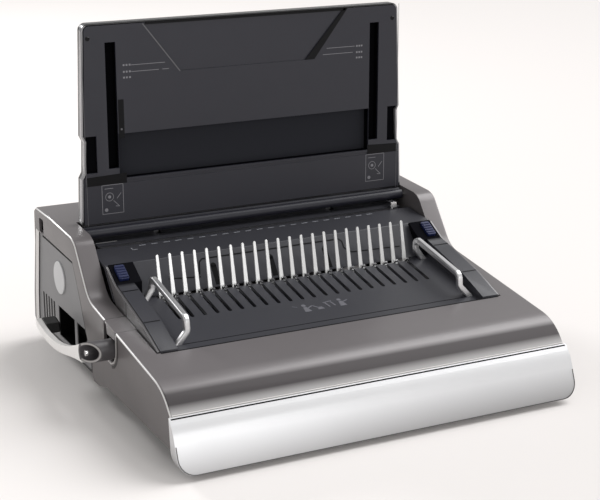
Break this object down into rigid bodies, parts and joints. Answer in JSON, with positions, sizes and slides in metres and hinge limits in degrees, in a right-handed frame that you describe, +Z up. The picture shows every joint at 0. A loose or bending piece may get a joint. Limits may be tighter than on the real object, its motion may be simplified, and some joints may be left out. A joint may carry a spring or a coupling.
{
  "type": "electric comb binding machine",
  "caption": "Desktop binding machine with an open hinged lid, a row of comb tines on a lift-off unit, a side lever and a front chip drawer.",
  "frame": {"origin": "under the centre foot, on the surface that the machine stands on", "axes": "+X to the machine's right, +Y to its rear, +Z up"},
  "size_m": [0.4848, 0.454, 0.384],
  "materials": {
    "shell": "glossy taupe grey",
    "panel": "satin grey",
    "cap": "light grey",
    "base": "black",
    "foot": "matte",
    "silver": "bright silver",
    "charcoal": "satin charcoal",
    "trim": "glossy grey",
    "blue": "ribbed navy",
    "chrome": "polished",
    "steel": "machined",
    "bright_steel": "polished",
    "lever": "satin silver",
    "neck": "satin",
    "black": "black",
    "board": "solder mask",
    "clear_tray": "black",
    "brass": "turned"
  },
  "bodies": {
    "housing": {"base_tray": "base", "foot_front_left": "foot", "foot_front_right": "foot", "foot_rear_left": "foot", "foot_rear_right": "foot", "foot_centre": "foot", "upper_shell": "shell", "side_panel_left": "panel", "side_panel_right": "panel", "side_cap_left": "cap", "side_cap_right": "cap", "rear_cover": "panel", "cover_screws": "steel", "power_inlet": "black", "rocker_cradle": "black", "throat_ledge": "charcoal", "throat_strip": "bright_steel", "die_block": "steel", "punch_guide": "steel", "frame_plate_left": "steel", "frame_plate_right": "steel", "gearmotor": "steel", "motor_bracket": "steel", "circuit_board": "board", "board_parts": "black", "hinge_pin_left": "bright_steel", "hinge_pin_right": "bright_steel"},
    "rocker": {"power_rocker": "black"},
    "punch_carriage": {"punches": "bright_steel", "punch_bar": "steel"},
    "cam_drive": {"camshaft": "steel", "eccentric_left": "brass", "eccentric_right": "brass", "cam_gear": "brass"},
    "motor_gear": {"motor_pinion": "brass"},
    "binding_unit": {"binding_deck": "charcoal", "tine_bar": "steel", "tines": "bright_steel", "arm_trim_left": "trim", "arm_trim_right": "trim", "bridge_cover": "shell", "bail_left": "chrome", "bail_right": "chrome"},
    "hooks": {"hook_bar": "bright_steel"},
    "lever": {"lever_shaft": "steel", "pinion_left": "steel", "pinion_right": "steel", "lever_hub": "neck", "lever_arm": "lever", "lever_grip": "lever"},
    "button_left": {"release_button_left": "blue"},
    "button_right": {"release_button_right": "blue"},
    "drawer": {"drawer_front": "silver", "drawer_tray": "clear_tray"},
    "lid": {"lid_shell": "silver", "lid_liner": "charcoal", "lid_barrel": "charcoal"},
    "guide": {"edge_guide": "bright_steel"}
  },
  "joints": [
    {"name": "lid_hinge", "type": "hinge", "parent": "housing", "child": "lid", "pos_m": [0, 0.105, 0.154], "axis": [1, 0, 0], "range_deg": [0, 103]},
    {"name": "drawer_slide", "type": "slide", "parent": "housing", "child": "drawer", "axis": [0, -1, 0], "range_m": [0, 0.2]},
    {"name": "unit_lift", "type": "slide", "parent": "housing", "child": "binding_unit", "axis": [0, 0, 1], "range_m": [0, 0.12]},
    {"name": "lever_turn", "type": "hinge", "parent": "binding_unit", "child": "lever", "pos_m": [0, -0.0425, 0.074], "axis": [1, 0, 0], "range_deg": [0, 120]},
    {"name": "hook_slide", "type": "slide", "parent": "binding_unit", "child": "hooks", "axis": [0, -0.9847, -0.1745], "range_m": [0, 0.0253]},
    {"name": "button_left_press", "type": "slide", "parent": "binding_unit", "child": "button_left", "axis": [0, 0.4886, -0.8725], "range_m": [0, 0.002], "stiffness_N_per_m": 400, "springref_m": -0.001},
    {"name": "button_right_press", "type": "slide", "parent": "binding_unit", "child": "button_right", "axis": [0, 0.4886, -0.8725], "range_m": [0, 0.002], "stiffness_N_per_m": 400, "springref_m": -0.001},
    {"name": "cam_turn", "type": "hinge", "parent": "housing", "child": "cam_drive", "pos_m": [0, 0.15, 0.126], "axis": [1, 0, 0], "range_deg": [0, 180]},
    {"name": "punch_slide", "type": "slide", "parent": "housing", "child": "punch_carriage", "axis": [0, -1, 0], "range_m": [0, 0.0101]},
    {"name": "motor_turn", "type": "hinge", "parent": "housing", "child": "motor_gear", "pos_m": [0.17, 0.15, 0.084], "axis": [1, 0, 0], "range_deg": [-451, 1]},
    {"name": "guide_slide", "type": "slide", "parent": "housing", "child": "guide", "axis": [1, 0, 0], "range_m": [-0.016, 0.005]},
    {"name": "rocker_tip", "type": "hinge", "parent": "housing", "child": "rocker", "pos_m": [0.11, 0.2194, 0.061], "axis": [1, 0, 0], "range_deg": [-8, 8]}
  ],
  "couplings": [
    {"joint": "hook_slide", "follows": "lever_turn", "m_per_rad": 0.012},
    {"joint": "punch_slide", "follows": "cam_turn", "m_per_rad": 0.0031831},
    {"joint": "motor_turn", "follows": "cam_turn", "ratio": -2.5}
  ]
}
